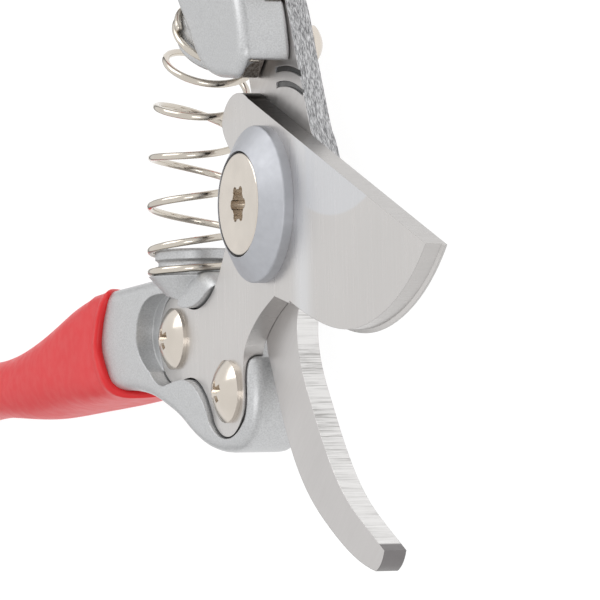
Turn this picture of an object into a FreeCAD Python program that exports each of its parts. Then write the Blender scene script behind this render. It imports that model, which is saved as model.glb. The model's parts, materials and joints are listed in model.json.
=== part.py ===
import FreeCAD
import Part

import math
import os

# Bypass pruning shears, lying on their back face and open as the coil spring leaves them.
# Origin: on the pivot axis, in the outer face of the pivot nut. +X bisects the open jaws,
# +Z leaves the cutting blade's outer face. Units are millimetres.
# Each half is drawn in its own closed frame, where both jaws point along +X, and is then
# turned about the pivot by half the opening: the blade half up, the hook half down.

OPENING_DEG = 48.0

# Heights of the stacked layers, counted from the nut's outer face.
NUT_HEIGHT = 3.2
SPRING_WASHER_HEIGHT = 0.85
WASHER_HEIGHT = 1.0
HOOK_THICKNESS = 3.3
PLATE_GAP = 0.05
BLADE_THICKNESS = 3.0
WASHER_Z = NUT_HEIGHT + SPRING_WASHER_HEIGHT
HOOK_Z = WASHER_Z + WASHER_HEIGHT
HOOK_TOP = HOOK_Z + HOOK_THICKNESS
BLADE_Z = HOOK_TOP + PLATE_GAP
BLADE_TOP = BLADE_Z + BLADE_THICKNESS
SPRING_Z = 9.6

# Pivot group.
BOLT_R = 4.0
BUSH_R = 5.0
RUNNING_GAP = 0.05
DISC_R = 11.25
DISC_RIM_HEIGHT = 1.5
DISC_TOP_R = 7.6
DISC_HEIGHT = 3.9
BOLT_HEAD_R = 7.35
BOLT_HEAD_HEIGHT = 2.4
LOBE_SOCKET_R = 2.75
NUT_ACROSS_FLATS = 13.0

# Sharpened edge: the grind starts a little beyond the pivot disc.
GRIND_START_X = 14.0
GRIND_DEPTH = 2.3
EDGE_BEVEL_DEPTH = 0.45

# Pan-head screws that hold the blade, and those that hold the hook from behind.
PAN_HEAD_R = 4.6
PAN_RIM = 0.6
PAN_CROWN = 1.8
BLADE_SCREW_R = 2.1
BLADE_SCREW_DEPTH = 6.0
BLADE_SCREWS = {"blade_screw_rear": (-34.6, -18.0), "blade_screw_front": (-13.9, -26.4)}
HOOK_SCREWS = {"hook_screw_front": (-15.6, 16.7), "hook_screw_rear": (-41.5, 12.6)}
HOOK_SCREW_HEAD_R = 2.9
HOOK_SCREW_RIM = 0.9
HOOK_SCREW_CROWN = 1.4
HOOK_SCREW_R = 1.25
HOOK_SCREW_DEPTH = 5.0

# Castings: each head has a front face that slopes gently along X, and rounded edges.
HEAD_LOW_Z = 2.1
HEAD_END_X = -60.0
BLADE_HEAD_ROUNDING = 2.2
HOOK_HEAD_ROUNDING = 1.6
BACK_ROUNDING = 1.2
FRONT_START_X = -7.0
BLADE_HEAD_FRONT_Z = BLADE_TOP - 0.4
BLADE_HEAD_SLOPE_DEG = 5.0
HOOK_HEAD_FRONT_Z = BLADE_TOP + 4.7
HOOK_HEAD_SLOPE_DEG = -0.8
POCKET_GAP = 0.3
SCOOP_START = (-29.6, -12.3)
SCOOP_STEPS = [[(-33.0, -11.5), (-37.6, -11.3), (-41.6, -12.7), (-43.6, -15.4), (-43.9, -17.9),
                (-42.9, -20.1), (-40.2, -22.4), (-36.0, -24.2), (-31.6, -24.4)]]

# Grips' inner faces: x, lower and upper side (closed frame), back and front height, corner radius.
BLADE_ARM = [(-38.0, -27.0, -8.9, 2.1, 13.6, 1.3), (-50.0, -25.4, -9.6, 2.1, 14.6, 1.5),
             (-60.0, -25.9, -10.4, 1.6, 15.1, 1.8), (-70.0, -26.7, -11.8, 1.1, 15.0, 3.6),
             (-85.0, -27.6, -14.9, 1.6, 14.4, 5.2), (-100.0, -28.0, -17.9, 2.4, 13.6, 4.8),
             (-120.0, -27.2, -19.9, 3.2, 12.8, 3.5), (-140.0, -28.6, -20.2, 3.4, 12.6, 3.9),
             (-148.0, -29.2, -21.6, 3.8, 12.2, 3.6)]
HOOK_ARM = [(-48.6, 4.5, 21.9, 2.1, 15.3, 1.5), (-60.0, 5.9, 21.8, 1.6, 15.1, 1.8),
            (-70.0, 7.8, 22.0, 1.1, 15.0, 3.6), (-85.0, 10.9, 22.5, 1.6, 14.4, 5.0),
            (-100.0, 13.3, 22.6, 2.4, 13.6, 4.2), (-120.0, 15.3, 22.4, 3.2, 12.8, 3.3),
            (-140.0, 15.9, 23.6, 3.4, 12.6, 3.6), (-148.0, 17.4, 24.2, 3.8, 12.2, 3.2)]
ARM_INSET = 0.35
GRIP_WALL = 0.9
GRIP_END_X = -153.0
# The grip's mouth slopes: it reaches further forward on the outer side of each handle.
GRIP_MOUTH = (-57.0, 18.0)
GRIP_MOUTH_SLOPE_DEG = 41.0

# Return spring and the bosses that it snaps on.
BOSS_R = 5.9
BOSS_HEIGHT = 4.0
BOSS_GROOVE_DEPTH = 0.5
BOSS_ROOT = 0.6
SADDLE_R = 6.9
SADDLE_DEPTH = 5.5
BLADE_BOSS = (-31.0, -8.8)
HOOK_BOSS = (-32.8, 4.3)
SPRING_OUTER_R = 7.1
SPRING_WIRE = 1.1
SPRING_SEAT_GAP = 0.9
SPRING_PULL = 13.0

# Thumb catch: a flat lever in the blade's layer, pivoted on the hook half.
CATCH_PIVOT = (-21.4, 16.4)
CATCH_PIN_R = 1.6
CATCH_HUB_R = 2.9
CATCH_GAP = 0.3
CATCH_THICKNESS = 2.4
CATCH_NOSE = 10.4
CATCH_NOSE_DEG = -85.6
CATCH_TAB = 12.4
CATCH_TAB_DEG = 108.0
CATCH_TRAVEL_DEG = 34.0
LOBE_SWEEP_R = 20.8
LOBE_ROOM_TOP = BLADE_TOP + 3.3
CATCH_WIRE_R = 0.18


def vec(point, z=0.0):
    """Turn a plan point into a vector at height z."""
    return FreeCAD.Vector(point[0], point[1], z)


def outline_wire(start, steps, z=0.0):
    """Closed wire. A step is a point (line), a pair of points (arc) or a list (smooth curve)."""
    edges = []
    here = start
    for step in steps:
        if isinstance(step, list):
            curve = Part.BSplineCurve()
            curve.interpolate([vec(p, z) for p in [here] + step])
            edges.append(curve.toShape())
            here = step[-1]
        elif isinstance(step[0], tuple):
            edges.append(Part.Arc(vec(here, z), vec(step[0], z), vec(step[1], z)).toShape())
            here = step[1]
        else:
            edges.append(Part.makeLine(vec(here, z), vec(step, z)))
            here = step
    if math.dist(here, start) > 1e-6:
        edges.append(Part.makeLine(vec(here, z), vec(start, z)))
    return Part.Wire(edges)


def prism(start, steps, z_low, z_high):
    """Straight-sided solid over a closed outline."""
    face = Part.Face(outline_wire(start, steps, z_low))
    return face.extrude(FreeCAD.Vector(0, 0, z_high - z_low))


def rod(center, radius, z_low, z_high):
    """Upright cylinder."""
    return Part.makeCylinder(radius, z_high - z_low, vec(center, z_low))


def ring(center, inner, outer, z_low, z_high):
    """Upright tube."""
    return rod(center, outer, z_low, z_high).cut(rod(center, inner, z_low, z_high))


def soften(solid, radius, choose):
    """Round the edges for which choose(edge) is true."""
    edges = [edge for edge in solid.Edges if choose(edge)]
    return solid.makeFillet(radius, edges)


def on_level(z, tolerance=0.01):
    """Test for edges that lie flat at height z."""
    def test(edge):
        box = edge.BoundBox
        return abs(box.ZMin - z) < tolerance and abs(box.ZMax - z) < tolerance
    return test


def turned(shape, degrees):
    """Copy of a shape turned about the pivot axis."""
    copy = shape.copy()
    copy.rotate(FreeCAD.Vector(0, 0, 0), FreeCAD.Vector(0, 0, 1), degrees)
    return copy


def blade_outline(grow=0.0):
    """Cutting blade in plan: straight spine, bellied edge, lock lobe and two-lobed tail."""
    g = grow
    tip = (55.4, -8.8)
    spine_end = (-5.0, 15.6)
    steps = [
        spine_end,
        [(-9.4, 16.7), (-13.2, 15.3), (-14.9, 12.6), (-13.4, 10.0), (-11.0, 7.6)],
        ((-10.2, 2.6), (-11.2, -1.6)),
        [(-14.1 - g, -5.0), (-18.2 - g, -10.4 + g), (-25.0, -13.8 + g), (-33.0, -11.6 + g)],
        ((-41.0 - g, -18.4), (-35.0, -24.8 - g)),
        [(-31.6, -24.2 - g), (-27.6, -24.1 - g), (-23.2 - g, -26.2 - g), (-20.0 - g, -30.4 - g)],
        ((-15.0, -33.0 - g), (-9.4 + g, -30.4 - g)),
        [(-8.4 + g, -26.4), (-8.2 + g, -21.4), (-5.0, -17.7), (-0.4, -15.0), (3.6, -13.3)],
        (10.6, -14.9),
        [(18.5, -17.7), (28.6, -19.5), (40.4, -17.9), (50.0, -13.4), tip],
    ]
    return tip, steps


def cutting_blade():
    """Blade plate with a pivot hole, ground hollow towards its edge and its tip."""
    tip, steps = blade_outline()
    plate = prism(tip, steps, BLADE_Z, BLADE_TOP)
    plate = plate.cut(rod((0, 0), BUSH_R, 0, BLADE_TOP + 1))
    for center in BLADE_SCREWS.values():
        plate = plate.cut(rod(center, BLADE_SCREW_R + 0.2, 0, BLADE_TOP + 1))
    return plate.cut(grind_cutter()).cut(bevel_cutter())


def grind_cutter():
    """Solid that the long sloping grind removes: nothing at the spine, deepest at the edge."""
    top = BLADE_TOP + 1.0
    floor = BLADE_TOP - GRIND_DEPTH
    low = [(GRIND_START_X - 3.0, 13.0), (62.0, -7.4), (62.0, -31.0), (GRIND_START_X - 3.0, -20.6)]
    near = [vec(low[0], BLADE_TOP + 0.35), vec(low[1], BLADE_TOP - 1.75),
            vec(low[2], floor - 0.55), vec(low[3], floor)]
    high = [FreeCAD.Vector(p.x, p.y, top + 2.0) for p in near]
    bottom = Part.Wire([Part.makeLine(near[i], near[(i + 1) % 4]) for i in range(4)])
    lid = Part.Wire([Part.makeLine(high[i], high[(i + 1) % 4]) for i in range(4)])
    wedge = Part.makeLoft([bottom, lid], True, True)
    ramp_r = 14.0
    ramp = Part.makeCylinder(ramp_r, 60.0, FreeCAD.Vector(GRIND_START_X - 3.0, -35.0, BLADE_TOP + 13.9),
                             FreeCAD.Vector(0, 1, 0))
    keep = Part.makeBox(6.0, 70.0, 8.0, FreeCAD.Vector(GRIND_START_X - 6.2, -36.0, BLADE_TOP - 4.0))
    return wedge.cut(keep.cut(ramp))


def bevel_cutter():
    """Solid that the narrow sharpening bevel removes along the bellied edge."""
    inner = [(9.0, -14.2), (18.5, -17.3), (28.6, -18.95), (40.2, -17.4), (49.8, -13.0), (55.4, -8.2)]
    outer = [(9.0, -14.8), (18.4, -17.9), (28.6, -19.65), (40.5, -18.05), (50.3, -13.5), (56.4, -8.4)]
    low = BLADE_Z + 0.12
    high = low + EDGE_BEVEL_DEPTH
    rails = []
    for row, z in ((outer, low), (inner, high), (inner, high + 6.0), (outer, high + 6.0)):
        curve = Part.BSplineCurve()
        curve.interpolate([vec(p, z) for p in row])
        rails.append(curve.toShape())
    shells = []
    for a, b in ((0, 1), (1, 2), (2, 3), (3, 0)):
        shells.append(Part.makeRuledSurface(rails[a], rails[b]))
    for end in (0, 1):
        corners = [r.Vertexes[end].Point for r in rails]
        shells.append(Part.Face(Part.makePolygon(corners + [corners[0]])))
    return Part.Solid(Part.Shell(Part.Compound(shells).Faces))


def hook_outline():
    """Counter blade in plan: curved hook, round boss and a tail that lies under its handle."""
    tip = (58.9, -8.2)
    steps = [
        [(59.4, -10.2), (59.0, -12.3)],
        [(52.6, -16.4), (45.0, -19.6), (37.0, -21.9), (29.0, -22.4), (20.0, -20.9), (11.3, -18.7)],
        [(6.4, -16.2), (0.0, -13.9)],
        ((-10.6, -8.6), (-13.4, -1.6)),
        [(-14.5, -0.6), (-17.4, 1.8), (-20.3, 3.4), (-24.0, 4.7), (-30.0, 5.2)],
        (-41.0, 5.2),
        ((-47.1, 11.3), (-41.0, 17.4)),
        (-30.0, 19.2),
        [(-25.0, 21.0), (-20.3, 21.1), (-14.0, 19.1), (-8.3, 17.1), (-0.2, 14.5)],
        ((9.9, 10.2), (13.6, 2.0)),
        [(14.0, -2.6), (15.4, -7.6), (19.5, -10.8), (26.8, -12.4), (37.3, -13.4), (45.5, -12.7),
         (52.6, -10.5), tip],
    ]
    return tip, steps


def hook_blade():
    """Counter blade plate with its holes and two shallow ring grooves."""
    tip, steps = hook_outline()
    plate = prism(tip, steps, HOOK_Z, HOOK_TOP)
    plate = plate.cut(rod((0, 0), BUSH_R + RUNNING_GAP, 0, HOOK_TOP + 1))
    for center in HOOK_SCREWS.values():
        plate = plate.cut(rod(center, HOOK_SCREW_R + 0.15, 0, HOOK_TOP + 1))
    floor = HOOK_TOP - 0.25
    sector = prism((0, 0), [(-11.0, 30.0), (-40.0, 30.0)], floor, HOOK_TOP)
    for middle in (17.3, 19.5):
        groove = ring((0, 0), middle - 0.4, middle + 0.4, floor, HOOK_TOP)
        plate = plate.cut(groove.common(sector))
    return plate.cut(rod(CATCH_PIVOT, CATCH_PIN_R + 0.02, 0, HOOK_TOP + 1))


def section(x, low, high, back, front, r):
    """Rounded rectangle across a handle arm at x, as a closed wire."""
    bend = r * math.sqrt(0.5)
    edges = []
    corners = [(high, front, 1, 1), (low, front, -1, 1), (low, back, -1, -1), (high, back, 1, -1)]
    arcs = []
    for y, z, sy, sz in corners:
        cy = y - sy * r
        cz = z - sz * r
        ends = [(y, cz), (cy, z)]
        if sy != sz:
            ends.reverse()
        arcs.append((ends[0], (cy + sy * bend, cz + sz * bend), ends[1]))
    for i, arc in enumerate(arcs):
        a, b, c = (FreeCAD.Vector(x, p[0], p[1]) for p in arc)
        following = arcs[(i + 1) % 4][0]
        edges.append(Part.Arc(a, b, c).toShape())
        edges.append(Part.makeLine(c, FreeCAD.Vector(x, following[0], following[1])))
    return Part.Wire(edges)


def arm(stations, wall=0.0):
    """Smooth handle arm through its stations, thickened by a wall on every side."""
    wires = []
    for x, low, high, back, front, r in stations:
        wires.append(section(x, low - wall, high + wall, back - wall, front + wall, r + wall))
    return Part.makeLoft(wires, True, False)


def mouth_cutter(side):
    """Half space in front of a grip's sloping mouth. side is -1 below and +1 above the axis."""
    block = Part.makeBox(120.0, 160.0, 60.0, FreeCAD.Vector(0, -80.0, -20.0))
    turn = -side * (90.0 - GRIP_MOUTH_SLOPE_DEG)
    block.rotate(FreeCAD.Vector(0, 0, 0), FreeCAD.Vector(0, 0, 1), turn)
    block.translate(FreeCAD.Vector(GRIP_MOUTH[0], side * GRIP_MOUTH[1], 0))
    return block


def grip(stations, side, handle):
    """Dipped sleeve over a handle arm: sloping mouth in front, rounded end behind."""
    outer = list(stations)
    x, low, high, back, front, r = outer[-1]
    for along, scale in ((0.45, 0.93), (0.8, 0.7), (1.0, 0.36)):
        inset_y = (high - low + 2.0 * GRIP_WALL) / 2.0 * (1.0 - scale)
        inset_z = (front - back + 2.0 * GRIP_WALL) / 2.0 * (1.0 - scale)
        outer.append((x + (GRIP_END_X - x) * along, low + inset_y, high - inset_y,
                      back + inset_z, front - inset_z, (r + GRIP_WALL) * scale - GRIP_WALL))
    return arm(outer, GRIP_WALL).cut(mouth_cutter(side)).cut(handle)


def seat_boss(center, side):
    """Round boss with a snap groove for the spring's end turn. side is its direction in Y."""
    out = FreeCAD.Vector(0, side, 0)
    base = FreeCAD.Vector(center[0], center[1] - side * BOSS_ROOT, SPRING_Z)
    body = Part.makeCylinder(BOSS_R, BOSS_HEIGHT + BOSS_ROOT, base, out)
    rim = BOSS_HEIGHT + BOSS_ROOT
    body = soften(body, 0.5, lambda edge: abs(abs(edge.BoundBox.Center.y - base.y) - rim) < 0.01)
    middle = FreeCAD.Vector(center[0], center[1] + side * 0.45 * BOSS_HEIGHT, SPRING_Z)
    groove = Part.makeTorus(BOSS_R + 0.1, BOSS_GROOVE_DEPTH + 0.1, middle, out)
    return body.cut(groove)


def head_block(start, steps, low, front, slope_deg, rounding):
    """Outline raised from low to a front face that slopes along X, with its front edges rounded."""
    def height(x):
        return front + (FRONT_START_X - x) * math.tan(math.radians(slope_deg))

    def rounded_edge(edge):
        on_face = all(abs(v.Point.z - height(v.Point.x)) < 0.01 for v in edge.Vertexes)
        return on_face and edge.BoundBox.XMax > HEAD_END_X + 0.1

    block = prism(start, steps, low, front + 8.0)
    above = Part.makeBox(90.0, 90.0, 20.0, FreeCAD.Vector(-90.0, -45.0, 0))
    above.rotate(FreeCAD.Vector(0, 0, 0), FreeCAD.Vector(0, 1, 0), slope_deg)
    above.translate(FreeCAD.Vector(0, 0, height(0.0)))
    return soften(block.cut(above), rounding, rounded_edge)


def blade_head():
    """Head of the blade handle, before its pocket and scoop are cut."""
    start = (HEAD_END_X, -10.4)
    steps = [
        [(-53.0, -9.8), (-46.0, -9.3), (-40.0, -8.9), (-34.0, -8.7), (-27.0, -8.5), (-21.4, -8.9),
         (-17.6, -12.2)],
        [(-13.6, -17.0), (-9.6, -20.2), (-7.6, -21.6)],
        [(-6.9, -24.4), (-6.8, -27.4), (-7.5, -30.6)],
        ((-9.8, -33.8), (-13.8, -35.2)),
        [(-20.6, -34.8), (-24.3, -33.7), (-27.8, -32.0), (-30.9, -30.2), (-34.8, -28.5), (-40.0, -26.7),
         (-46.0, -25.6), (HEAD_END_X, -25.9)],
    ]
    block = head_block(start, steps, HEAD_LOW_Z, BLADE_HEAD_FRONT_Z, BLADE_HEAD_SLOPE_DEG,
                       BLADE_HEAD_ROUNDING)
    level = on_level(HEAD_LOW_Z)
    return soften(block, BACK_ROUNDING, lambda e: level(e) and e.BoundBox.XMax > HEAD_END_X + 0.1)


def spring_saddle():
    """Swelling of the blade handle's front face that carries the full width of the boss."""
    base = FreeCAD.Vector(BLADE_BOSS[0], BLADE_BOSS[1], SPRING_Z)
    return Part.makeCone(SADDLE_R, 2.0, SADDLE_DEPTH, base, FreeCAD.Vector(0, -1, 0))


def blade_handle():
    """Cast handle of the blade half: head with the blade's seat, scoop, spring boss and arm."""
    top = HOOK_HEAD_FRONT_Z + 2.0
    body = blade_head().fuse(arm(BLADE_ARM, -ARM_INSET)).fuse(spring_saddle())
    body = body.fuse(seat_boss(BLADE_BOSS, 1.0))
    tip, tail = blade_outline(POCKET_GAP)
    body = body.cut(prism(tip, tail, BLADE_Z, top)).cut(prism(SCOOP_START, SCOOP_STEPS, BLADE_TOP, top))
    for center in BLADE_SCREWS.values():
        body = body.cut(rod(center, BLADE_SCREW_R, BLADE_Z - BLADE_SCREW_DEPTH, top))
    return body.removeSplitter()


def hook_handle():
    """Cast handle of the hook half: head over the plate, lobe recess, catch slot, boss, arm."""
    start = (HEAD_END_X, 5.9)
    steps = [
        [(-54.0, 5.1), (-47.0, 4.5), (-40.0, 4.3), (-30.0, 4.3), (-23.6, 4.7), (-19.8, 6.5), (-17.7, 8.1)],
        (-14.2, 11.2),
        [(-13.0, 12.9), (-12.65, 14.8), (-13.0, 16.9), (-14.6, 18.3), (-20.3, 20.9), (-28.0, 22.0),
         (-38.0, 22.1), (-47.0, 21.9), (HEAD_END_X, 21.8)],
    ]
    head = head_block(start, steps, HOOK_TOP, HOOK_HEAD_FRONT_Z, HOOK_HEAD_SLOPE_DEG,
                      HOOK_HEAD_ROUNDING)
    level = on_level(HOOK_TOP)
    head = soften(head, 0.8, lambda e: level(e) and e.BoundBox.XMax > HEAD_END_X + 0.1)
    body = head.fuse(arm(HOOK_ARM, -ARM_INSET)).fuse(seat_boss(HOOK_BOSS, -1.0))
    tip, steps = hook_outline()
    body = body.cut(prism(tip, steps, -1.0, HOOK_TOP))
    body = body.cut(rod((0, 0), LOBE_SWEEP_R, HOOK_TOP - 1.0, LOBE_ROOM_TOP)).cut(catch_room())
    for center in HOOK_SCREWS.values():
        body = body.cut(rod(center, HOOK_SCREW_R, 0, HOOK_TOP + HOOK_SCREW_DEPTH))
    body = body.cut(rod(CATCH_PIVOT, CATCH_PIN_R, 0, BLADE_TOP + 2.0))
    return body.cut(catch_spring()).removeSplitter()


def away(start, degrees, distance, aside=0.0):
    """Plan point at a distance in a direction, moved sideways by aside."""
    angle = math.radians(degrees)
    x = start[0] + distance * math.cos(angle) - aside * math.sin(angle)
    y = start[1] + distance * math.sin(angle) + aside * math.cos(angle)
    return (x, y)


def catch_bar(direction, length, root, end, z_low, z_high):
    """Tapered bar with a round end that leaves the catch pivot in one direction."""
    return prism(away(CATCH_PIVOT, direction, 0.0, -root),
                 [away(CATCH_PIVOT, direction, length - end, -end),
                  (away(CATCH_PIVOT, direction, length, 0.0),
                   away(CATCH_PIVOT, direction, length - end, end)),
                  away(CATCH_PIVOT, direction, 0.0, root)], z_low, z_high)


def lock_catch():
    """Thumb catch in its unlocked place: hub, nose that blocks the blade's lobe, and thumb tab."""
    low = HOOK_TOP + CATCH_GAP
    high = low + CATCH_THICKNESS
    lever = rod(CATCH_PIVOT, CATCH_HUB_R, low, high)
    lever = lever.fuse(catch_bar(CATCH_NOSE_DEG, CATCH_NOSE, 1.9, 1.6, low, high))
    lever = lever.fuse(catch_bar(CATCH_TAB_DEG, CATCH_TAB, 2.0, 2.1, low, high)).removeSplitter()
    return lever.cut(rod(CATCH_PIVOT, CATCH_PIN_R + RUNNING_GAP, 0, 30.0))


def catch_room():
    """Slot in the hook handle that the catch swings in, open on the handle's outer side."""
    low = HOOK_TOP
    high = HOOK_TOP + CATCH_GAP + CATCH_THICKNESS + CATCH_GAP
    room = rod(CATCH_PIVOT, CATCH_HUB_R + 0.3, low, high)
    nose_r = CATCH_NOSE + 0.4
    nose_from = CATCH_NOSE_DEG - 4.0
    nose_to = CATCH_NOSE_DEG + CATCH_TRAVEL_DEG + 4.0
    nose = prism(away(CATCH_PIVOT, nose_from, 0.0, -2.3),
                 [away(CATCH_PIVOT, nose_from, nose_r, -2.1),
                  (away(CATCH_PIVOT, (nose_from + nose_to) / 2.0, nose_r),
                   away(CATCH_PIVOT, nose_to, nose_r, 2.1)),
                  away(CATCH_PIVOT, nose_to, 0.0, 2.3)], low, high)
    tab_r = CATCH_TAB + 1.0
    tab_from = CATCH_TAB_DEG
    tab_to = CATCH_TAB_DEG + CATCH_TRAVEL_DEG
    tab = prism(away(CATCH_PIVOT, tab_from, 0.0, -2.4),
                [away(CATCH_PIVOT, tab_from, tab_r, -2.6),
                 (away(CATCH_PIVOT, (tab_from + tab_to) / 2.0, tab_r + 1.0),
                  away(CATCH_PIVOT, tab_to, tab_r, 2.6)),
                 away(CATCH_PIVOT, tab_to, 0.0, 2.4)], low, high)
    return room.fuse(nose).fuse(tab)


def pan_screw(center, seat_z, head_r, rim, crown, shank_r, length, up=1.0):
    """Cross-recessed pan-head screw. up is +1 with its head above seat_z and -1 below it."""
    profile = [(0, -length), (shank_r, -length), (shank_r, 0), (head_r, 0), (head_r, rim)]
    points = [FreeCAD.Vector(p[0], 0, p[1]) for p in profile]
    lines = [Part.makeLine(points[i], points[i + 1]) for i in range(len(points) - 1)]
    top = FreeCAD.Vector(0, 0, rim + crown)
    bulge = FreeCAD.Vector(head_r * math.sqrt(0.5), 0, rim + crown * 0.5)
    lines.append(Part.Arc(points[-1], bulge, top).toShape())
    lines.append(Part.makeLine(top, points[0]))
    body = Part.Face(Part.Wire(lines)).revolve(FreeCAD.Vector(0, 0, 0), FreeCAD.Vector(0, 0, 1), 360)
    for turn in (0, 90):
        body = body.cut(recess_bar(head_r, rim + crown, 0.7 * (rim + crown), turn + 20.0))
    if up < 0:
        body.rotate(FreeCAD.Vector(0, 0, 0), FreeCAD.Vector(1, 0, 0), 180)
    body.translate(vec(center, seat_z))
    return body


def recess_bar(head_r, top, depth, turn):
    """One wing pair of a cross recess: a bar that tapers downwards."""
    wires = []
    low = (top - depth, 0.16 * head_r, 0.07 * head_r)
    high = (top + 0.2, 0.42 * head_r, 0.12 * head_r)
    for z, half_l, half_w in (low, high):
        corners = [(-half_l, -half_w), (half_l, -half_w), (half_l, half_w), (-half_l, half_w)]
        wires.append(outline_wire(corners[0], corners[1:], z))
    bar = Part.makeLoft(wires, True, True)
    bar.rotate(FreeCAD.Vector(0, 0, 0), FreeCAD.Vector(0, 0, 1), turn)
    return bar


def pivot_bolt():
    """Pivot screw: round head with a six-lobed socket, plain shank and threaded end."""
    top = BLADE_TOP + DISC_HEIGHT
    seat = top - BOLT_HEAD_HEIGHT
    shank = rod((0, 0), BOLT_R, 0.0, seat)
    head = soften(rod((0, 0), BOLT_HEAD_R, seat, top), 0.35, on_level(top))
    bolt = head.fuse(shank)
    socket = rod((0, 0), LOBE_SOCKET_R * 0.78, top - 2.0, top + 1.0)
    for i in range(6):
        angle = math.radians(60.0 * i)
        lobe = (LOBE_SOCKET_R * 0.74 * math.cos(angle), LOBE_SOCKET_R * 0.74 * math.sin(angle))
        socket = socket.fuse(rod(lobe, LOBE_SOCKET_R * 0.26, top - 2.0, top + 1.0))
    return bolt.cut(socket).removeSplitter()


def pivot_disc():
    """Conical disc between the screw head and the blade, with a rounded rim and a seat."""
    rim = BLADE_TOP + DISC_RIM_HEIGHT
    top = BLADE_TOP + DISC_HEIGHT
    seat = top - BOLT_HEAD_HEIGHT
    hole = BOLT_R + RUNNING_GAP
    profile = [(hole, BLADE_TOP), (DISC_R, BLADE_TOP), (DISC_R, rim), (DISC_TOP_R, top), (DISC_TOP_R, seat),
               (hole, seat), (hole, BLADE_TOP)]
    wire = Part.makePolygon([FreeCAD.Vector(p[0], 0, p[1]) for p in profile])
    disc = Part.Face(wire).revolve(FreeCAD.Vector(0, 0, 0), FreeCAD.Vector(0, 0, 1), 360)
    return soften(disc, 0.4, on_level(rim))


def pivot_nut():
    """Thin hexagon nut whose chamfered outer face the shears rest on."""
    corner_r = NUT_ACROSS_FLATS / math.sqrt(3.0)
    corners = []
    for i in range(6):
        angle = math.radians(60.0 * i)
        corners.append((corner_r * math.cos(angle), corner_r * math.sin(angle)))
    body = prism(corners[0], corners[1:], 0.0, NUT_HEIGHT)
    cone = Part.makeCone(corner_r - 0.8, corner_r + 2.4, NUT_HEIGHT, FreeCAD.Vector(0, 0, 0))
    return body.common(cone).cut(rod((0, 0), BOLT_R, -1.0, NUT_HEIGHT + 1.0))


def spring_washer():
    """Split spring washer under the nut."""
    washer = ring((0, 0), BOLT_R + 0.15, 7.0, NUT_HEIGHT, WASHER_Z)
    split = Part.makeBox(8.0, 0.8, 2.0, FreeCAD.Vector(0, -0.4, NUT_HEIGHT - 0.5))
    return washer.cut(split)


def catch_spring():
    """Thin wire of the catch: a loop over the hub, a leg in the casting and a kinked end."""
    z = HOOK_TOP + 2.0 * CATCH_GAP + CATCH_THICKNESS
    loop_r = 2.3
    loop = []
    for step in range(9):
        loop.append(vec(away(CATCH_PIVOT, 200.0 - 30.0 * step, loop_r), z))
    wall = (-14.96, 14.70)
    free = (-14.62, 14.37)
    points = loop + [vec(wall, 13.48), vec((-15.1, 14.85), 12.78), vec(free, 13.33), vec(free, 12.16)]
    wire = Part.makeSphere(CATCH_WIRE_R, points[0])
    for start, end in zip(points, points[1:]):
        run = end.sub(start)
        wire = wire.fuse(Part.makeCylinder(CATCH_WIRE_R, run.Length, start, run))
        wire = wire.fuse(Part.makeSphere(CATCH_WIRE_R, end))
    return wire.removeSplitter()


def coil_spring():
    """Bent sleeve that fills the return spring's turns: straight over each boss, curved between."""
    places = []
    for seat, side, turn in ((BLADE_BOSS, 1.0, OPENING_DEG / 2.0), (HOOK_BOSS, -1.0, -OPENING_DEG / 2.0)):
        angle = math.radians(turn)
        c, s = math.cos(angle), math.sin(angle)
        x, y = seat
        y += side * SPRING_SEAT_GAP
        point = FreeCAD.Vector(x * c - y * s, x * s + y * c, SPRING_Z)
        places.append((point, FreeCAD.Vector(-side * s, side * c, 0)))
    (p0, d0), (p1, d1) = places
    straight = BOSS_HEIGHT - SPRING_SEAT_GAP + 0.2
    b0 = p0 + d0 * straight
    b1 = p1 + d1 * straight
    curve = Part.BezierCurve()
    curve.setPoles([b0, b0 + d0 * SPRING_PULL, b1 + d1 * SPRING_PULL, b1])
    spine = Part.Wire([curve.toShape()])
    sides = []
    for radius in (SPRING_OUTER_R, SPRING_OUTER_R - SPRING_WIRE):
        circle = Part.Wire([Part.Circle(b0, d0, radius).toShape()])
        bent = spine.makePipeShell([circle], True, False)
        first = Part.makeCylinder(radius, straight, p0, d0)
        last = Part.makeCylinder(radius, straight, p1, d1)
        sides.append(bent.fuse(first).fuse(last))
    return sides[0].cut(sides[1]).removeSplitter()


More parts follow.
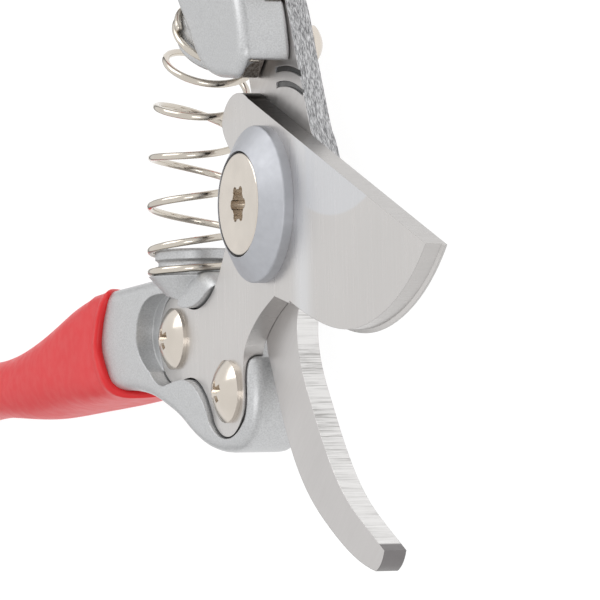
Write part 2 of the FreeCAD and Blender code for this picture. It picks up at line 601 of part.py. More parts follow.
def build():
    """All nodes in their places with the shears open."""
    up = OPENING_DEG / 2.0
    down = -up
    upper = blade_handle()
    lower = hook_handle()
    blade_half = {
        "cutting_blade": cutting_blade(),
        "blade_handle": upper,
        "blade_handle_grip": grip(BLADE_ARM, -1.0, upper),
        "pivot_disc": pivot_disc(),
        "pivot_bolt": pivot_bolt(),
        "pivot_nut": pivot_nut(),
        "pivot_spring_washer": spring_washer(),
        "pivot_bush": ring((0, 0), BOLT_R, BUSH_R, HOOK_Z, BLADE_TOP),
        "pivot_washer": ring((0, 0), BOLT_R + 0.15, 8.6, WASHER_Z, HOOK_Z),
    }
    for name, center in BLADE_SCREWS.items():
        blade_half[name] = pan_screw(center, BLADE_TOP, PAN_HEAD_R, PAN_RIM, PAN_CROWN, BLADE_SCREW_R,
                                     BLADE_THICKNESS + BLADE_SCREW_DEPTH - 1.0)
    hook_half = {
        "hook_blade": hook_blade(),
        "hook_handle": lower,
        "hook_handle_grip": grip(HOOK_ARM, 1.0, lower),
        "lock_catch": lock_catch(),
        "catch_spring": catch_spring(),
        "catch_pin": rod(CATCH_PIVOT, CATCH_PIN_R, HOOK_Z, BLADE_TOP + 2.0),
    }
    for name, center in HOOK_SCREWS.items():
        hook_half[name] = pan_screw(center, HOOK_Z, HOOK_SCREW_HEAD_R, HOOK_SCREW_RIM, HOOK_SCREW_CROWN,
                                    HOOK_SCREW_R, HOOK_THICKNESS + HOOK_SCREW_DEPTH - 0.5, -1.0)
    nodes = {"coil_spring": coil_spring()}
    for name, shape in blade_half.items():
        nodes[name] = turned(shape, up)
    for name, shape in hook_half.items():
        nodes[name] = turned(shape, down)
    return nodes


if __name__ == "__main__":
    os.makedirs("parts", exist_ok=True)
    for node, shape in build().items():
        print(node, "solids", len(shape.Solids), "valid", shape.isValid(), "volume", round(shape.Volume, 1))
        shape.exportStep(os.path.join("parts", node + ".step"))
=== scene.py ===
import json
import math

import bpy
from mathutils import Matrix, Vector
from mathutils.bvhtree import BVHTree


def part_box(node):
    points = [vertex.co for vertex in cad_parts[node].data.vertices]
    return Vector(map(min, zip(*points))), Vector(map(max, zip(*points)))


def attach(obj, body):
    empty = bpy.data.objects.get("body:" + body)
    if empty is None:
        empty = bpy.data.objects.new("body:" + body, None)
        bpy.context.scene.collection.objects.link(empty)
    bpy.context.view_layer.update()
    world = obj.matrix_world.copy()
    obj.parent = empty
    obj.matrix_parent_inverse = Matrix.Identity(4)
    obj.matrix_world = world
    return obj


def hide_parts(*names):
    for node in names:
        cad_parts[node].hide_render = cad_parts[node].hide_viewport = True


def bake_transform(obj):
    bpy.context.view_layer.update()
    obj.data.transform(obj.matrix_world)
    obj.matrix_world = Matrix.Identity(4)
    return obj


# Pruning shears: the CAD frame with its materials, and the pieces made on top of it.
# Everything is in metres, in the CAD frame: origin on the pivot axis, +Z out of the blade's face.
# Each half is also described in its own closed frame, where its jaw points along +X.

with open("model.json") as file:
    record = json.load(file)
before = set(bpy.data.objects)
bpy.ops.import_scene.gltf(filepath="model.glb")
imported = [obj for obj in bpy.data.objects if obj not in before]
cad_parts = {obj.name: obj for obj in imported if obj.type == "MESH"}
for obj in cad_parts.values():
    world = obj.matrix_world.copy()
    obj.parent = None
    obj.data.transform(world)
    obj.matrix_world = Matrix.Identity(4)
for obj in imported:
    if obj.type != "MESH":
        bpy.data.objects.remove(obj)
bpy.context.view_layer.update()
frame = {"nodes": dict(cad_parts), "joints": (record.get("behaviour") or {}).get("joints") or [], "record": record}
NODES = frame["nodes"]
MM = 0.001

JAW = next(j for j in frame["joints"] if j["name"] == "jaw_pivot")
HALF_OPEN = math.radians(JAW["range_deg"][1]) / 2.0
BLADE_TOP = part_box("cutting_blade")[1].z
HOOK_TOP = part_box("hook_blade")[1].z


def opened(point, angle):
    """A point in a half's closed frame, turned about the pivot to where it is when open."""
    x, y, z = point
    c, s = math.cos(angle), math.sin(angle)
    return Vector((x * c - y * s, x * s + y * c, z))


# ---------------------------------------------------------------- node helpers

class Shader:
    """A principled material with small helpers for the nodes that feed it."""

    def __init__(self, name, color, metallic, roughness):
        self.material = bpy.data.materials.new(name)
        self.material.use_nodes = True
        self.tree = self.material.node_tree
        self.bsdf = self.tree.nodes["Principled BSDF"]
        self.bsdf.inputs["Base Color"].default_value = (*color, 1.0)
        self.bsdf.inputs["Metallic"].default_value = metallic
        self.bsdf.inputs["Roughness"].default_value = roughness
        self.coords = self.node("ShaderNodeTexCoord").outputs["Object"]
        self.normal = None

    def node(self, kind, **settings):
        made = self.tree.nodes.new(kind)
        for key, value in settings.items():
            setattr(made, key, value)
        return made

    def link(self, source, target):
        self.tree.links.new(source, target)

    def closed_frame(self, half_turn):
        """Object coordinates turned back to a half's closed frame."""
        made = self.node("ShaderNodeVectorRotate", rotation_type="Z_AXIS")
        made.inputs["Angle"].default_value = -half_turn
        self.link(self.coords, made.inputs["Vector"])
        return made.outputs["Vector"]

    def stretched(self, vector, scale):
        """Coordinates scaled differently along X, Y and Z, for streaks."""
        made = self.node("ShaderNodeVectorMath", operation="MULTIPLY")
        made.inputs[1].default_value = scale
        self.link(vector, made.inputs[0])
        return made.outputs["Vector"]

    def axis(self, vector, name):
        made = self.node("ShaderNodeSeparateXYZ")
        self.link(vector, made.inputs["Vector"])
        return made.outputs[name]

    def face_z(self):
        """How far a face looks along Z: 1 on a plate's flat faces, 0 on its edges."""
        geometry = self.node("ShaderNodeNewGeometry")
        return self.math("ABSOLUTE", self.axis(geometry.outputs["True Normal"], "Z"))

    def distance(self, vector, center, flat=True):
        """Distance from a point, measured in plan when flat."""
        moved = self.node("ShaderNodeVectorMath", operation="SUBTRACT")
        self.link(vector, moved.inputs[0])
        moved.inputs[1].default_value = center
        kept = self.stretched(moved.outputs["Vector"], (1.0, 1.0, 0.0 if flat else 1.0))
        made = self.node("ShaderNodeVectorMath", operation="LENGTH")
        self.link(kept, made.inputs[0])
        return made.outputs["Value"]

    def noise(self, scale, detail=4.0, roughness=0.55, vector=None):
        made = self.node("ShaderNodeTexNoise")
        made.inputs["Scale"].default_value = scale
        made.inputs["Detail"].default_value = detail
        made.inputs["Roughness"].default_value = roughness
        self.link(vector if vector is not None else self.coords, made.inputs["Vector"])
        return made.outputs["Fac"]

    def remap(self, value, low, high, from_low=0.3, from_high=0.7):
        made = self.node("ShaderNodeMapRange", interpolation_type="SMOOTHSTEP")
        made.inputs["From Min"].default_value = from_low
        made.inputs["From Max"].default_value = from_high
        made.inputs["To Min"].default_value = low
        made.inputs["To Max"].default_value = high
        self.link(value, made.inputs["Value"])
        return made.outputs["Result"]

    def math(self, operation, a, b=None):
        made = self.node("ShaderNodeMath", operation=operation)
        for socket, value in zip(made.inputs, (a, b)):
            if value is None:
                continue
            if isinstance(value, (int, float)):
                socket.default_value = value
            else:
                self.link(value, socket)
        return made.outputs["Value"]

    def mix(self, factor, first, second):
        made = self.node("ShaderNodeMix", data_type="RGBA")
        self.link(factor, made.inputs["Factor"])
        for socket, value in ((made.inputs["A"], first), (made.inputs["B"], second)):
            if isinstance(value, tuple):
                socket.default_value = (*value, 1.0)
            else:
                self.link(value, socket)
        return made.outputs["Result"]

    def color(self, source):
        self.link(source, self.bsdf.inputs["Base Color"])

    def roughness(self, source):
        self.link(source, self.bsdf.inputs["Roughness"])

    def rounded(self, radius):
        """Small rounding of sharp edges, seen in their highlights."""
        bevel = self.node("ShaderNodeBevel", samples=6)
        bevel.inputs["Radius"].default_value = radius
        self.normal = bevel.outputs["Normal"]
        self.link(self.normal, self.bsdf.inputs["Normal"])

    def bump(self, height, strength, distance):
        made = self.node("ShaderNodeBump")
        made.inputs["Strength"].default_value = strength
        made.inputs["Distance"].default_value = distance
        self.link(height, made.inputs["Height"])
        if self.normal is not None:
            self.link(self.normal, made.inputs["Normal"])
        self.normal = made.outputs["Normal"]
        self.link(self.normal, self.bsdf.inputs["Normal"])


def shade(color, factor):
    """A colour made lighter or darker."""
    return tuple(min(1.0, c * factor) for c in color)


# ---------------------------------------------------------------- materials

# Cutting blade, in its closed frame: the belt of painted highlight where the grind starts (from and to, at each
# side), the round patch of painted reflection of the pivot disc, and the painted dark reflection on the spine
# behind the jaw.
HIGHLIGHT_BELT_RISE_X = (9.0 * MM, 13.5 * MM)
HIGHLIGHT_BELT_FALL_X = (14.0 * MM, 18.5 * MM)
DISC_REFLECTION_CENTER = (25.8 * MM, 27.2 * MM, 0.0)
DISC_REFLECTION_R = 30.0 * MM
DISC_REFLECTION_X = (14.5 * MM, 16.5 * MM)
SPINE_SHADE_X = (-4.0 * MM, 30.0 * MM)
SPINE_Y = (2.0 * MM, 8.0 * MM)

# Counter blade, in its closed frame: where its outer edge lies, where the inner edge's cross grinding
# starts, how deep its shallow ring grooves may be (their floors get painted shade), and how far from the pivot its
# dark end starts.
OUTER_EDGE_Y = (9.0 * MM, 12.0 * MM)
CROSS_GRIND_X = (9.0 * MM, 13.0 * MM)
GROOVE_TOP_Z = (HOOK_TOP - 0.10 * MM, HOOK_TOP - 0.03 * MM)
GROOVE_LOW_Z = (HOOK_TOP - 1.0 * MM, HOOK_TOP - 0.9 * MM)
TIP_REACH = (57.5 * MM, 58.0 * MM)


def blade_steel():
    """Satin blade: fine lines, a painted highlight belt where the grind starts, a painted reflection of the disc,
    painted shade on the edges and a painted dark reflection on the rear spine.
    """
    color = (0.655, 0.635, 0.62)
    s = Shader("blade_steel", color, 1.0, 0.30)
    s.rounded(0.12 * MM)
    local = s.closed_frame(HALF_OPEN)
    x = s.axis(local, "X")
    lines = s.noise(1.0, 5.0, 0.7, s.stretched(local, (2600.0, 60.0, 300.0)))
    cloud = s.noise(45.0, 3.0)
    body = s.mix(s.remap(cloud, 0.0, 0.35), color, shade(color, 0.90))
    # Painted highlight: a lighter belt where the grind starts, standing in for light caught by the curved
    # transition.
    rising = s.remap(x, 0.0, 1.0, *HIGHLIGHT_BELT_RISE_X)
    falling = s.remap(x, 1.0, 0.0, *HIGHLIGHT_BELT_FALL_X)
    highlight_belt = s.math("MULTIPLY", rising, falling)
    body = s.mix(s.math("MULTIPLY", highlight_belt, 0.7), body, (0.76, 0.765, 0.78))
    # Painted reflection: a round bluish patch standing in for the pivot disc mirrored in the blade's face.
    disc_reflection = s.remap(s.distance(local, DISC_REFLECTION_CENTER), 1.0, 0.0, DISC_REFLECTION_R, DISC_REFLECTION_R + 0.5 * MM)
    disc_reflection = s.math("MULTIPLY", disc_reflection, s.remap(x, 0.0, 0.5, *DISC_REFLECTION_X))
    body = s.mix(disc_reflection, body, (0.70, 0.725, 0.77))
    # Painted shade on the edge faces: a near-black painted reflection along the spine behind the jaw, fading
    # towards the tip, and a darker copy of the steel on the other edges.
    spine_shade = s.mix(s.remap(x, 0.0, 1.0, *SPINE_SHADE_X), (0.045, 0.043, 0.042), shade(color, 0.9))
    spine = s.remap(s.axis(local, "Y"), 0.0, 1.0, *SPINE_Y)
    side = s.mix(spine, shade(color, 0.75), spine_shade)
    s.color(s.mix(s.remap(s.face_z(), 1.0, 0.0, 0.2, 0.6), body, side))
    s.roughness(s.remap(lines, 0.26, 0.38))
    s.bump(lines, 0.05, 0.015 * MM)
    return s


def hook_steel():
    """Counter blade: satin flat faces, rough streaked outer edge, cross-ground inner edge."""
    color = (0.63, 0.61, 0.60)
    s = Shader("hook_steel", color, 1.0, 0.32)
    s.rounded(0.15 * MM)
    local = s.closed_frame(-HALF_OPEN)
    x = s.axis(local, "X")
    y = s.axis(local, "Y")
    edge = s.remap(s.face_z(), 1.0, 0.0, 0.2, 0.6)
    outer = s.math("MULTIPLY", edge, s.remap(y, 0.0, 1.0, *OUTER_EDGE_Y))
    streaks = s.noise(1.0, 5.0, 0.75, s.stretched(local, (1000.0, 1000.0, 6800.0)))
    lines = s.noise(1.0, 4.0, 0.7, s.stretched(local, (2800.0, 120.0, 300.0)))
    face = s.mix(s.remap(s.noise(50.0, 3.0), 0.0, 0.4), color, shade(color, 0.88))
    rough_edge = s.mix(s.remap(streaks, 0.0, 1.0, 0.36, 0.64), (0.16, 0.16, 0.165), (0.72, 0.72, 0.73))
    body = s.mix(outer, face, rough_edge)
    inner = s.math("MULTIPLY", edge, s.remap(x, 0.0, 1.0, *CROSS_GRIND_X))
    scratches = s.noise(1.0, 5.0, 0.7, s.stretched(local, (3600.0, 3600.0, 110.0)))
    broad = s.noise(1.0, 2.0, 0.5, s.stretched(local, (260.0, 260.0, 50.0)))
    broad = s.remap(broad, 0.15, 1.0, 0.35, 0.65)
    worn = s.math("MULTIPLY", s.remap(scratches, 0.0, 1.0, 0.40, 0.66), broad)
    cross_ground = s.mix(worn, (0.80, 0.79, 0.78), (0.34, 0.33, 0.32))
    body = s.mix(inner, body, cross_ground)
    z = s.axis(local, "Z")
    # Painted shade: the floors of the shallow ring grooves are painted near black.
    groove_shade = s.math("MULTIPLY", s.remap(z, 1.0, 0.0, *GROOVE_TOP_Z), s.remap(z, 0.0, 1.0, *GROOVE_LOW_Z))
    groove_shade = s.math("MULTIPLY", groove_shade, s.remap(s.face_z(), 0.0, 1.0, 0.6, 0.9))
    body = s.mix(groove_shade, body, (0.12, 0.12, 0.12))
    reach = s.distance(local, (0.0, 0.0, 0.0))
    tip = s.math("MULTIPLY", edge, s.remap(reach, 0.0, 1.0, *TIP_REACH))
    s.color(s.mix(tip, body, (0.20, 0.19, 0.19)))
    s.roughness(s.math("MAXIMUM", s.remap(lines, 0.28, 0.40), s.math("MULTIPLY", outer, 0.42)))
    s.bump(lines, 0.05, 0.015 * MM)
    s.bump(s.math("MULTIPLY", streaks, outer), 0.7, 0.12 * MM)
    return s


def turned_steel(name, color, roughness, grain_bump=0.10):
    """Lathe-turned satin steel: faint rings about the pivot axis and small clouds."""
    s = Shader(name, color, 1.0, roughness)
    s.rounded(0.15 * MM)
    rings = s.node("ShaderNodeTexNoise", noise_dimensions="1D")
    rings.inputs["Scale"].default_value = 3600.0
    rings.inputs["Detail"].default_value = 3.0
    s.link(s.distance(s.coords, (0.0, 0.0, 0.0)), rings.inputs["W"])
    s.color(s.mix(s.remap(s.noise(900.0, 3.0), 0.0, 0.5), color, shade(color, 0.9)))
    s.roughness(s.remap(s.noise(240.0, 3.0), roughness - 0.05, roughness + 0.07))
    s.bump(rings.outputs["Fac"], 0.06, 0.02 * MM)
    s.bump(s.noise(2600.0, 3.0, 0.6), grain_bump, 0.02 * MM)
    return s


def plated(name, color, roughness):
    """Bright nickel plating, slightly uneven."""
    s = Shader(name, color, 1.0, roughness)
    s.rounded(0.10 * MM)
    s.color(s.mix(s.remap(s.noise(160.0, 2.0), 0.0, 1.0), color, shade(color, 0.92)))
    s.roughness(s.remap(s.noise(300.0, 3.0), roughness - 0.03, roughness + 0.05))
    s.bump(s.noise(1100.0, 3.0, 0.6), 0.05, 0.02 * MM)
    return s


def cast_silver():
    """Fine-grained silver coat over a casting."""
    color = (0.555, 0.56, 0.565)
    s = Shader("cast_handle", color, 0.75, 0.42)
    s.rounded(0.35 * MM)
    grain = s.noise(4200.0, 3.0, 0.7)
    s.color(s.mix(s.remap(grain, 0.0, 1.0), shade(color, 0.84), shade(color, 1.12)))
    s.roughness(s.remap(grain, 0.34, 0.50))
    s.bump(grain, 0.22, 0.04 * MM)
    s.bump(s.noise(500.0, 2.0), 0.04, 0.10 * MM)
    return s


def brown_steel():
    """Rough brown-grey steel of the thumb catch."""
    s = Shader("catch_steel", (0.30, 0.26, 0.22), 0.7, 0.5)
    s.rounded(0.10 * MM)
    specks = s.noise(2600.0, 4.0, 0.75)
    s.color(s.mix(s.remap(specks, 0.0, 1.0, 0.35, 0.65), (0.17, 0.135, 0.11), (0.50, 0.46, 0.42)))
    s.bump(specks, 0.4, 0.06 * MM)
    return s


def red_dip():
    """Soft glossy red dipped plastic."""
    color = (0.66, 0.004, 0.008)
    s = Shader("red_grip", color, 0.0, 0.36)
    s.bsdf.inputs["Subsurface Weight"].default_value = 0.12
    s.bsdf.inputs["Subsurface Radius"].default_value = (1.0, 0.2, 0.1)
    s.bsdf.inputs["Subsurface Scale"].default_value = 1.2 * MM
    s.color(s.mix(s.remap(s.noise(90.0, 3.0), 0.0, 1.0), color, shade(color, 0.97)))
    s.roughness(s.remap(s.noise(500.0, 3.0), 0.38, 0.46))
    return s


def make_materials():
    """One material per slot of the record."""
    return {
        "blade_steel": blade_steel(),
        "hook_steel": hook_steel(),
        "disc_steel": turned_steel("disc_steel", (0.52, 0.53, 0.56), 0.55, 0.3),
        "washer_steel": turned_steel("washer_steel", (0.50, 0.50, 0.50), 0.40),
        "bush_bronze": turned_steel("bush_bronze", (0.62, 0.40, 0.21), 0.35),
        "screw_nickel": plated("screw_nickel", (0.72, 0.66, 0.59), 0.17),
        "spring_wire": plated("spring_wire", (0.64, 0.59, 0.52), 0.10),
        "catch_steel": brown_steel(),
        "cast_handle": cast_silver(),
        "red_grip": red_dip(),
    }


MATERIALS = make_materials()


def dress_nodes():
    """Give each CAD node the material of its slot."""
    for row in frame["record"]["subparts"]:
        mesh = NODES[row["node"]].data
        mesh.materials.clear()
        mesh.materials.append(MATERIALS[row["material_slot"]].material)


# ---------------------------------------------------------------- pieces

def mesh_object(name, vertices, faces, material):
    """Smooth mesh object with one material."""
    mesh = bpy.data.meshes.new(name)
    mesh.from_pydata([tuple(v) for v in vertices], [], faces)
    mesh.validate()
    mesh.update()
    for polygon in mesh.polygons:
        polygon.use_smooth = True
    mesh.materials.append(material.material)
    obj = bpy.data.objects.new(name, mesh)
    bpy.context.scene.collection.objects.link(obj)
    return obj


def loop_faces(rows, sides):
    """Quads that join consecutive closed rows of points."""
    faces = []
    for i in range(rows - 1):
        for k in range(sides):
            a = i * sides + k
            b = i * sides + (k + 1) % sides
            faces.append((a, b, b + sides, a + sides))
    return faces


def tube(name, path, radius, sides, material):
    """Round wire along a list of points, with slightly rounded ends."""
    vertices = []
    side = None
    last = len(path) - 1
    for i, point in enumerate(path):
        ahead = path[min(i + 1, last)] - path[max(i - 1, 0)]
        ahead.normalize()
        if side is None:
            side = ahead.orthogonal().normalized()
        side = (side - ahead * side.dot(ahead)).normalized()
        other = ahead.cross(side)
        r = radius * 0.8 if i in (0, last) else radius
        for k in range(sides):
            angle = 2.0 * math.pi * k / sides
            vertices.append(point + (side * math.cos(angle) + other * math.sin(angle)) * r)
    faces = loop_faces(len(path), sides)
    faces.append(tuple(reversed(range(sides))))
    faces.append(tuple(last * sides + k for k in range(sides)))
    return mesh_object(name, vertices, faces, material)


def bezier(p0, p1, p2, p3, t):
    """Point and direction on a cubic curve."""
    u = 1.0 - t
    point = p0 * u ** 3 + p1 * 3 * u * u * t + p2 * 3 * u * t * t + p3 * t ** 3
    slope = (p1 - p0) * 3 * u * u + (p2 - p1) * 6 * u * t + (p3 - p2) * 3 * t * t
    return point, slope.normalized()


# Return spring: its axis leaves the blade handle's boss and enters the hook handle's boss, each
# end given in its half's closed frame, with how hard it pulls the axis straight out.
SPRING_LOW = (-31.0 * MM, -8.2 * MM, 9.6 * MM)
SPRING_HIGH = (-32.8 * MM, 3.7 * MM, 9.6 * MM)
SPRING_PULLS = (16.0 * MM, 15.0 * MM)
SPRING_WIRE_R = 0.55 * MM
SPRING_COIL_R = 7.1 * MM - SPRING_WIRE_R
# How far up its axis the wire has risen, in millimetres, at each pass of the front side.
SPRING_START_TURN = -0.5
SPRING_RISES = {-0.5: 0.0, 0.0: 0.15, 1.0: 3.5, 2.0: 10.1, 3.0: 17.1,
                4.0: 24.4, 5.0: 31.6, 6.0: 37.2, 7.0: 38.4}
STEPS_PER_TURN = 48
AXIS_STEPS = 400


def eased(table, at):
    """Smooth value between the entries of a table, without overshoot."""
    keys = sorted(table)
    index = max(i for i, key in enumerate(keys[:-1]) if key <= at)
    k0, k1 = keys[index], keys[index + 1]

    def slope(i):
        if i == 0 or i == len(keys) - 1:
            near, far = (keys[0], keys[1]) if i == 0 else (keys[-2], keys[-1])
            return (table[far] - table[near]) / (far - near)
        before = (table[keys[i]] - table[keys[i - 1]]) / (keys[i] - keys[i - 1])
        after = (table[keys[i + 1]] - table[keys[i]]) / (keys[i + 1] - keys[i])
        return 2.0 * before * after / (before + after) if before * after > 0.0 else 0.0

    width = k1 - k0
    t = (at - k0) / width
    start, end = table[k0], table[k1]
    bend = (2 * t ** 3 - 3 * t ** 2 + 1) * start + (-2 * t ** 3 + 3 * t ** 2) * end
    return bend + width * ((t ** 3 - 2 * t ** 2 + t) * slope(index) + (t ** 3 - t ** 2) * slope(index + 1))


def spring_path():
    """Points of the return spring's wire: a right-handed helix on a curved axis."""
    low = opened(SPRING_LOW, HALF_OPEN)
    high = opened(SPRING_HIGH, -HALF_OPEN)
    low_out = opened((0.0, 1.0, 0.0), HALF_OPEN)
    high_out = opened((0.0, -1.0, 0.0), -HALF_OPEN)
    controls = (low, low + low_out * SPRING_PULLS[0], high + high_out * SPRING_PULLS[1], high)
    samples = [bezier(*controls, i / AXIS_STEPS)[0] for i in range(AXIS_STEPS + 1)]
    lengths = [0.0]
    for before, after in zip(samples, samples[1:]):
        lengths.append(lengths[-1] + (after - before).length)
    last_turn = max(SPRING_RISES)
    scale = lengths[-1] / SPRING_RISES[last_turn]
    across = Vector((0, 0, 1))
    path = []
    steps = int((last_turn - SPRING_START_TURN) * STEPS_PER_TURN)
    index = 0
    for i in range(steps + 1):
        turn = SPRING_START_TURN + i / STEPS_PER_TURN
        along = eased(SPRING_RISES, turn) * scale
        while index < AXIS_STEPS - 1 and lengths[index + 1] < along:
            index += 1
        share = (along - lengths[index]) / (lengths[index + 1] - lengths[index])
        center, ahead = bezier(*controls, (index + share) / AXIS_STEPS)
        beside = ahead.cross(across).normalized()
        angle = 2.0 * math.pi * turn
        path.append(center + (across * math.cos(angle) + beside * math.sin(angle)) * SPRING_COIL_R)
    return path, low, high


def coil_spring():
    """Return spring, on a curved axis between the two handles."""
    path, low, high = spring_path()
    spring = tube("return_spring", path, SPRING_WIRE_R, 12, MATERIALS["spring_wire"])
    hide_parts("coil_spring")
    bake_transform(spring)


# Dipped grips: their wall where they run on ahead of the CAD grip, and the least they stand proud.
LIP_WALL = 0.3 * MM
COVER = 0.15 * MM
RAY_REACH = 30.0 * MM
LOWEST = 0.02 * MM
# Profile of the rolled lip as (forward, outward) steps from the grip's surface, in millimetres.
LIP_PROFILE = [(-4.0, -1.25), (-0.6, -1.25), (0.15, -1.20), (0.55, -0.85), (0.70, -0.40), (0.62, 0.02),
               (0.38, 0.28), (0.0, 0.36), (-0.5, 0.33), (-1.1, 0.20), (-1.9, 0.07), (-3.0, 0.0)]
LIP_LENGTH = 5.0 * MM
GRIP_SIDES = 144
GRIP_ROWS = 100
GRIP_ROW_CROWDING = 1.6
GRIP_SMOOTHING = 40
# Where the mouth lies along the handle (mm), by degrees from the inner side; the front is at +90.
MOUTH_AT = {-180.0: -45.2, -150.0: -50.0, -90.0: -57.0, -45.0: -61.0, -10.0: -61.0, 20.0: -57.5,
            44.0: -54.0, 66.0: -55.6, 90.0: -56.3, 130.0: -53.4, 150.0: -51.2, 172.0: -46.0,
            180.0: -45.2}


class GripForm:
    """The outer surface of a dipped grip, read by rays from the handle's own axis."""

    def __init__(self, grip_node, handle_node, half_turn, inner_side):
        self.inner_side = inner_side
        points, self.grip = self.closed_tree(grip_node, half_turn)
        self.handle = self.closed_tree(handle_node, half_turn)[1]
        self.end_x = min(p.x for p in points)
        front_x = max(p.x for p in points)
        near = [p for p in points if front_x - 25.0 * MM < p.x < front_x - 15.0 * MM]
        far = [p for p in points if p.x < self.end_x + 10.0 * MM]
        self.near = sum(near, Vector()) / len(near)
        self.far = sum(far, Vector()) / len(far)
        self.near.z = self.far.z = (min(p.z for p in near) + max(p.z for p in near)) / 2.0

    @staticmethod
    def closed_tree(node, half_turn):
        """Points of a CAD node in its half's closed frame, and a tree for rays."""
        mesh = NODES[node].data
        points = [opened(v.co, -half_turn) for v in mesh.vertices]
        return points, BVHTree.FromPolygons(points, [tuple(p.vertices) for p in mesh.polygons])

    def axis_point(self, x):
        """The handle's own middle at x."""
        share = (x - self.near.x) / (self.far.x - self.near.x)
        center = self.near.lerp(self.far, share)
        center.x = x
        return center

    def radius(self, x, angle):
        """Distance from the axis to the sleeve's outer surface at x, in the direction of angle."""
        out = Vector((0.0, math.cos(angle), math.sin(angle)))
        for back in range(20):
            center = self.axis_point(x - back * MM)
            for tree, wall in ((self.grip, 0.0), (self.handle, LIP_WALL)):
                hit = tree.ray_cast(center + out * RAY_REACH, -out, RAY_REACH)[0]
                if hit is not None:
                    return (hit - center).length + wall
        return 0.0

    def cover(self, x, angle):
        """Smallest radius at which the sleeve still covers the handle near x."""
        out = Vector((0.0, math.cos(angle), math.sin(angle)))
        needed = 0.0
        for aside in (-1.5, -0.75, 0.0, 0.75, 1.5):
            center = self.axis_point(x + aside * MM)
            hit = self.handle.ray_cast(center + out * RAY_REACH, -out, RAY_REACH)[0]
            if hit is not None:
                needed = max(needed, (hit - center).length + COVER)
        return needed

    def mouth_x(self, angle):
        """Where the grip starts in the direction of angle."""
        turned = math.degrees(math.atan2(math.sin(angle), math.cos(angle) * self.inner_side))
        return eased(MOUTH_AT, max(-180.0, min(180.0, turned))) * MM

    def point(self, x, angle, radius):
        """Point at a radius from the handle's middle."""
        out = Vector((0.0, math.cos(angle), math.sin(angle)))
        return self.axis_point(x) + out * radius


def blurred(grid):
    """Grid of radii, closed around its rows, averaged with its neighbours."""
    made = []
    for i, row in enumerate(grid):
        above = grid[max(i - 1, 0)]
        below = grid[min(i + 1, len(grid) - 1)]
        count = len(row)
        made.append([(2.0 * row[k] + row[k - 1] + row[(k + 1) % count] + above[k] + below[k]) / 6.0
                     for k in range(count)])
    return made


def dipped_grip(grip_node, handle_node, body, half_turn, inner_side):
    """Dipped sleeve with a rolled lip at its mouth and a rounded closed end."""
    form = GripForm(grip_node, handle_node, half_turn, inner_side)
    angles = [2.0 * math.pi * k / GRIP_SIDES for k in range(GRIP_SIDES)]
    mouths = [form.mouth_x(a) for a in angles]
    last_x = form.end_x + 0.02 * MM
    shares = [1.0 - (1.0 - i / GRIP_ROWS) ** GRIP_ROW_CROWDING for i in range(GRIP_ROWS + 1)]
    places = [[m * (1.0 - share) + last_x * share for m in mouths] for share in shares]
    radii = [[form.radius(x, a) for x, a in zip(row, angles)] for row in places]
    covers = [[form.cover(x, a) for x, a in zip(row, angles)] for row in places]
    for _ in range(GRIP_SMOOTHING):
        radii = blurred(radii)[:-1] + [radii[-1]]
        radii = [[max(pair) for pair in zip(*rows)] for rows in zip(radii, covers)]
    rows = []
    for forward, outward in LIP_PROFILE:
        behind = min(forward, 0.0) * MM
        rows.append([form.point(m + forward * MM, a, max(r, form.cover(m + behind, a)) + outward * MM)
                     for m, a, r in zip(mouths, angles, radii[0])])
    first = next(i for i, share in enumerate(shares) if share * (mouths[0] - last_x) > LIP_LENGTH)
    for place, row in zip(places[first:], radii[first:]):
        rows.append([form.point(x, a, r) for x, a, r in zip(place, angles, row)])
    vertices = [opened(p, half_turn) for row in rows for p in row]
    for vertex in vertices:
        vertex.z = max(vertex.z, LOWEST)
    faces = loop_faces(len(rows), GRIP_SIDES)
    tail = (len(rows) - 1) * GRIP_SIDES
    faces.append(tuple(tail + k for k in range(GRIP_SIDES)))
    piece = mesh_object("dipped_" + grip_node, vertices, faces, MATERIALS["red_grip"])
    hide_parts(grip_node)
    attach(piece, body)


# ---------------------------------------------------------------- stage, light and camera

FLOOR_HALF_SIZE = 3.0
FLOOR_GAP = 0.2 * MM
FLOOR_GLOW = 0.93

# World brightness in its dim belt and overhead, with the heights between which it changes.
WORLD_STRENGTH = (0.18, 0.95)
WORLD_BELT_Z = (0.02, 0.34)

# The view: turned about Z, leaning off the blade's axis, looking past the pivot by the offsets.
VIEW_TURN_DEG = 21.5
VIEW_LEAN_DEG = 66.8
VIEW_DISTANCE = 642.9 * MM
VIEW_OFFSET_RIGHT = 5.3 * MM
VIEW_OFFSET_DOWN = 13.67 * MM
SENSOR_WIDTH = 36.0
FOCAL_LENGTH = 270.0


def pale_floor():
    """Matt white floor that glows enough to hide shadows."""
    s = Shader("floor_white", (0.15, 0.15, 0.15), 0.0, 0.9)
    s.color(s.mix(s.remap(s.noise(3.0), 0.0, 1.0), (0.15, 0.15, 0.15), (0.14, 0.14, 0.14)))
    s.bsdf.inputs["Specular IOR Level"].default_value = 0.0
    s.bsdf.inputs["Emission Color"].default_value = (1.0, 1.0, 1.0, 1.0)
    s.bsdf.inputs["Emission Strength"].default_value = FLOOR_GLOW
    size = FLOOR_HALF_SIZE
    corners = [(-size, -size, 0.0), (size, -size, 0.0), (size, size, 0.0), (-size, size, 0.0)]
    floor = mesh_object("floor", corners, [(0, 1, 2, 3)], s)
    floor.location.z = -FLOOR_GAP


def soft_light(name, place, size, power):
    """Rectangular lamp that faces the origin."""
    data = bpy.data.lights.new(name, "AREA")
    data.shape = "RECTANGLE"
    data.size, data.size_y = size
    data.energy = power
    lamp = bpy.data.objects.new(name, data)
    lamp.location = place
    lamp.rotation_euler = (-Vector(place)).to_track_quat("-Z", "Y").to_euler()
    bpy.context.scene.collection.objects.link(lamp)


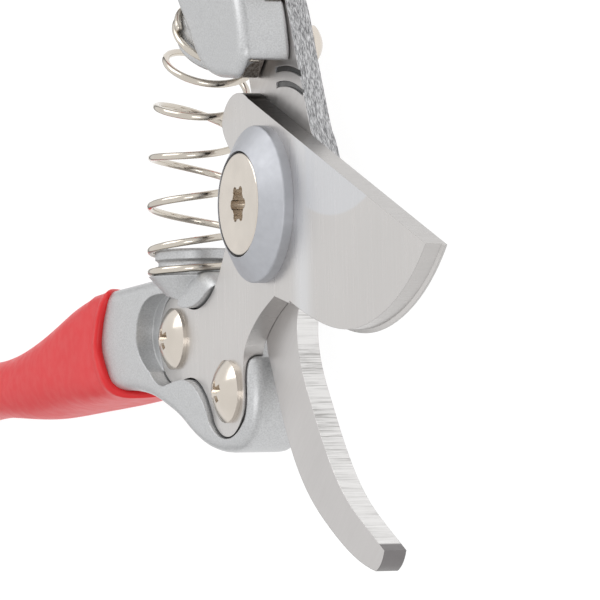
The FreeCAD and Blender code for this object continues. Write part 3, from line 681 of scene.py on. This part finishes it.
def lights():
    """White studio with a dim belt above the floor, and two large soft lamps."""
    world = bpy.data.worlds.new("studio")
    world.use_nodes = True
    tree = world.node_tree
    direction = tree.nodes.new("ShaderNodeTexCoord").outputs["Generated"]
    split = tree.nodes.new("ShaderNodeSeparateXYZ")
    tree.links.new(direction, split.inputs["Vector"])
    ramp = tree.nodes.new("ShaderNodeMapRange")
    ramp.interpolation_type = "SMOOTHSTEP"
    ramp.inputs["From Min"].default_value = WORLD_BELT_Z[0]
    ramp.inputs["From Max"].default_value = WORLD_BELT_Z[1]
    ramp.inputs["To Min"].default_value = WORLD_STRENGTH[0]
    ramp.inputs["To Max"].default_value = WORLD_STRENGTH[1]
    tree.links.new(split.outputs["Z"], ramp.inputs["Value"])
    tree.links.new(ramp.outputs["Result"], tree.nodes["Background"].inputs["Strength"])
    tree.nodes["Background"].inputs["Color"].default_value = (1, 1, 1, 1)
    bpy.context.scene.world = world
    soft_light("key", (-0.35, 0.45, 0.6), (0.55, 0.55), 1.6)
    soft_light("fill", (0.7, 0.1, 0.5), (0.3, 0.3), 0.8)


def camera():
    """Long lens, low over the lying shears and rolled so that the jaws' plane stands upright."""
    turn = math.radians(VIEW_TURN_DEG)
    lean = math.radians(VIEW_LEAN_DEG)
    along = Vector((math.cos(turn), math.sin(turn), 0.0))
    up = Vector((-math.sin(turn), math.cos(turn), 0.0))
    out = Vector((0.0, 0.0, 1.0))
    right = along * math.cos(lean) - out * math.sin(lean)
    back = along * math.sin(lean) + out * math.cos(lean)
    pivot = Vector((0.0, 0.0, BLADE_TOP))
    place = pivot + right * VIEW_OFFSET_RIGHT - up * VIEW_OFFSET_DOWN + back * VIEW_DISTANCE
    data = bpy.data.cameras.new("camera")
    data.sensor_width = SENSOR_WIDTH
    data.lens = FOCAL_LENGTH
    data.clip_start = 0.01
    lens = bpy.data.objects.new("camera", data)
    lens.matrix_world = Matrix((right, up, back)).transposed().to_4x4()
    lens.location = place
    bpy.context.scene.collection.objects.link(lens)
    bpy.context.scene.camera = lens
    bpy.context.scene.view_settings.view_transform = "Standard"


camera()
lights()
pale_floor()
dress_nodes()
coil_spring()
dipped_grip("blade_handle_grip", "blade_handle", "blade_half", HALF_OPEN, 1.0)
dipped_grip("hook_handle_grip", "hook_handle", "hook_half", -HALF_OPEN, -1.0)
